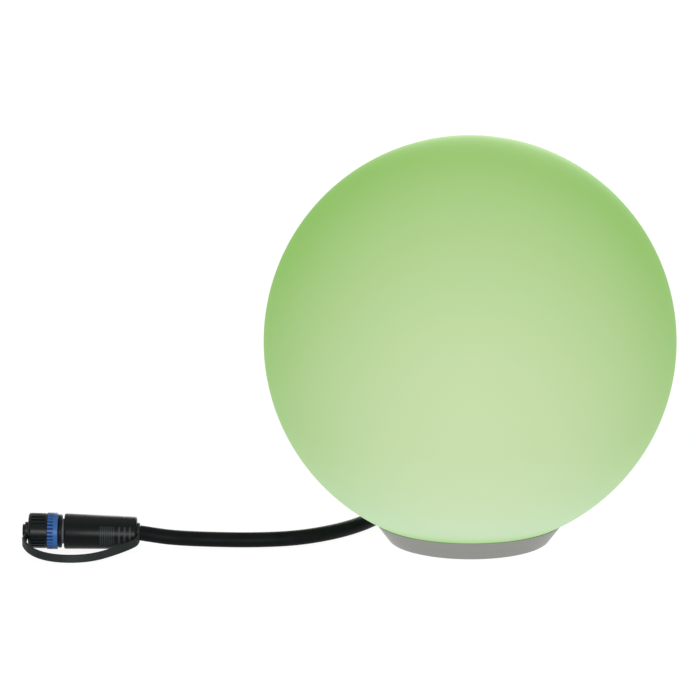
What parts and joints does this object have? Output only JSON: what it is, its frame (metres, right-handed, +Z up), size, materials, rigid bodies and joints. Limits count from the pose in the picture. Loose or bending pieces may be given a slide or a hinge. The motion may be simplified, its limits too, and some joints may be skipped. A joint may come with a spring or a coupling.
{
  "type": "garden globe light",
  "caption": "Glowing globe garden light on a low conical ring, with a twist-off globe and a short lead that ends in a capped round outdoor plug.",
  "frame": {"origin": "centre of the feet's underside, on the globe's axis", "axes": "+Z up along the globe's axis, +X to the right and +Y away from the viewer of the picture; the plug lies towards -X"},
  "size_m": [0.317, 0.216, 0.1992],
  "materials": {
    "diffuser": "satin translucent diffuser, lit green from inside",
    "white_plastic": "moulded",
    "grey_plastic": "moulded",
    "ring_metal": "satin",
    "screw_steel": "plain",
    "foot_rubber": "matt",
    "seal_rubber": "matt",
    "seal_grey": "matt",
    "cord_rubber": "satin",
    "strap_rubber": "satin",
    "plug_black": "satin overmould",
    "barrel_black": "moulded",
    "cap_black": "satin moulded",
    "lock_blue": "satin moulded",
    "pin_brass": "plated",
    "board_laminate": "solder mask",
    "terminal_plastic": "moulded",
    "module_shield": "tinned",
    "capacitor_sleeve": "shrink sleeve",
    "inductor_ferrite": "sintered",
    "lead_insulation": "insulated",
    "sink_aluminium": "die cast",
    "led_board_white": "white solder mask",
    "led_phosphor": "moulded",
    "lens_plastic": "frosted"
  },
  "bodies": {
    "base": {"base_ring": "ring_metal", "base_pan": "grey_plastic", "ring_screws": "screw_steel", "rubber_feet": "foot_rubber", "spigot_seal": "seal_rubber", "cord_bush": "seal_rubber", "cord_tail": "cord_rubber", "cord_clamp": "white_plastic", "clamp_screws": "screw_steel", "driver_board": "board_laminate", "board_screws": "screw_steel", "terminal_block": "terminal_plastic", "radio_module": "module_shield", "storage_capacitor": "capacitor_sleeve", "power_inductor": "inductor_ferrite", "supply_leads": "lead_insulation", "led_leads": "lead_insulation", "heat_sink": "sink_aluminium", "heat_sink_seal": "seal_rubber", "heat_sink_screws": "screw_steel", "led_board": "led_board_white", "led_board_screws": "screw_steel", "led_chips": "led_phosphor", "led_lens": "lens_plastic", "power_cord": "cord_rubber", "plug_body": "plug_black", "neck_seal": "seal_grey", "plug_barrel": "barrel_black", "contact_carrier": "barrel_black", "contact_pins": "pin_brass", "barrel_seal": "seal_rubber", "cap_strap": "strap_rubber"},
    "globe": {"globe_shell": "diffuser", "globe_collar": "white_plastic", "collar_screws": "screw_steel"},
    "lock_ring": {"lock_ring": "lock_blue"},
    "dust_cap": {"dust_cap": "cap_black"}
  },
  "joints": [
    {"name": "globe_twist", "type": "hinge", "parent": "base", "child": "globe", "pos_m": [0, 0, 0], "axis": [0, 0, 1], "range_deg": [0, 40]},
    {"name": "lock_turn", "type": "hinge", "parent": "base", "child": "lock_ring", "pos_m": [-0.20209, -0.0176, 0.0089], "axis": [-0.9997, 0, 0.0244], "range_deg": [0, 60]},
    {"name": "cap_turn", "type": "hinge", "parent": "base", "child": "dust_cap", "pos_m": [-0.21009, -0.0176, 0.00909], "axis": [-0.9997, 0, 0.0244], "range_deg": [0, 90]}
  ]
}
